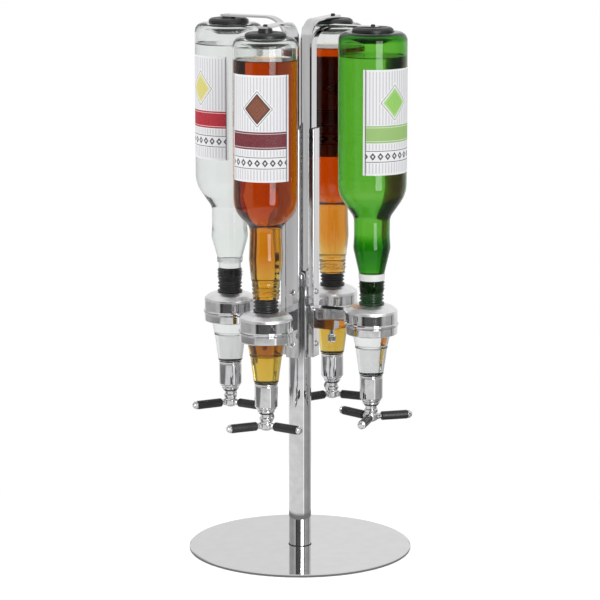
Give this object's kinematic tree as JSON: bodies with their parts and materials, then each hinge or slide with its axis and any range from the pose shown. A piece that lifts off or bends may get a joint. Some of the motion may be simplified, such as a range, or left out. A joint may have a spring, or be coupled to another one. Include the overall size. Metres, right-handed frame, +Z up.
{
  "type": "rotating liquor dispenser",
  "caption": "Rotating bar dispenser: inverted bottles clamped round a chrome column, each over a sprung spirit measure with press levers.",
  "frame": {"origin": "centre of the base plate's underside, on the column's axis", "axes": "+Z up along the column, -Y towards station 1, +X towards station 2"},
  "size_m": [0.2516, 0.2564, 0.6],
  "materials": {
    "base_steel": "satin steel, lightly mirrored",
    "column_chrome": "polished chrome",
    "hub_chrome": "polished chrome",
    "rail_chrome": "polished chrome",
    "arm_chrome": "polished chrome",
    "bracket_chrome": "polished chrome",
    "ring_chrome": "polished chrome",
    "barrel_chrome": "polished chrome",
    "lever_chrome": "polished chrome",
    "screw_chrome": "bright plated screw",
    "nylon_white": "natural nylon",
    "pad_rubber": "moulded rubber",
    "stopper_rubber": "ribbed rubber",
    "grip_black": "black sleeve",
    "chamber_clear": "clear moulded plastic",
    "bottle_clear": "clear glass",
    "bottle_green": "green glass",
    "spirit_brandy": "orange-brown spirit",
    "spirit_amber": "dark amber spirit",
    "spirit_clear": "clear spirit",
    "label_paper": "printed paper label"
  },
  "bodies": {
    "root": {"base_plate": "base_steel", "base_screw": "screw_chrome", "column": "column_chrome", "thrust_washer": "nylon_white", "pivot_nut": "screw_chrome"},
    "head": {"head_hub": "hub_chrome", "glide_strips": "nylon_white", "clamp_screws": "screw_chrome", "rail_1": "rail_chrome", "rail_2": "rail_chrome", "rail_3": "rail_chrome", "rail_4": "rail_chrome", "bottle_1": "bottle_clear", "bottle_2": "bottle_green", "bottle_3": "bottle_clear", "bottle_4": "bottle_clear", "brackets": "bracket_chrome", "stoppers": "stopper_rubber", "lock_rings": "ring_chrome", "chambers": "chamber_clear", "barrels": "barrel_chrome"},
    "arm_1": {"arm_1": "arm_chrome", "pad_1": "pad_rubber"},
    "arm_2": {"arm_2": "arm_chrome", "pad_2": "pad_rubber"},
    "arm_3": {"arm_3": "arm_chrome", "pad_3": "pad_rubber"},
    "arm_4": {"arm_4": "arm_chrome", "pad_4": "pad_rubber"},
    "lever_1": {"lever_1": "lever_chrome", "lever_grips_1": "grip_black"},
    "lever_2": {"lever_2": "lever_chrome", "lever_grips_2": "grip_black"},
    "lever_3": {"lever_3": "lever_chrome", "lever_grips_3": "grip_black"},
    "lever_4": {"lever_4": "lever_chrome", "lever_grips_4": "grip_black"}
  },
  "joints": [
    {"name": "head_turn", "type": "hinge", "parent": "root", "child": "head", "pos_m": [0, 0, 0.23], "axis": [0, 0, 1], "continuous": true},
    {"name": "arm_1_lift", "type": "slide", "parent": "head", "child": "arm_1", "axis": [0, 0, 1], "range_m": [0, 0.06]},
    {"name": "arm_2_lift", "type": "slide", "parent": "head", "child": "arm_2", "axis": [0, 0, 1], "range_m": [0, 0.06]},
    {"name": "arm_3_lift", "type": "slide", "parent": "head", "child": "arm_3", "axis": [0, 0, 1], "range_m": [0, 0.06]},
    {"name": "arm_4_lift", "type": "slide", "parent": "head", "child": "arm_4", "axis": [0, 0, 1], "range_m": [0, 0.06]},
    {"name": "lever_1_press", "type": "slide", "parent": "head", "child": "lever_1", "axis": [0, 0, 1], "range_m": [0, 0.009], "stiffness_N_per_m": 500, "springref_m": -0.006},
    {"name": "lever_2_press", "type": "slide", "parent": "head", "child": "lever_2", "axis": [0, 0, 1], "range_m": [0, 0.009], "stiffness_N_per_m": 500, "springref_m": -0.006},
    {"name": "lever_3_press", "type": "slide", "parent": "head", "child": "lever_3", "axis": [0, 0, 1], "range_m": [0, 0.009], "stiffness_N_per_m": 500, "springref_m": -0.006},
    {"name": "lever_4_press", "type": "slide", "parent": "head", "child": "lever_4", "axis": [0, 0, 1], "range_m": [0, 0.009], "stiffness_N_per_m": 500, "springref_m": -0.006}
  ]
}
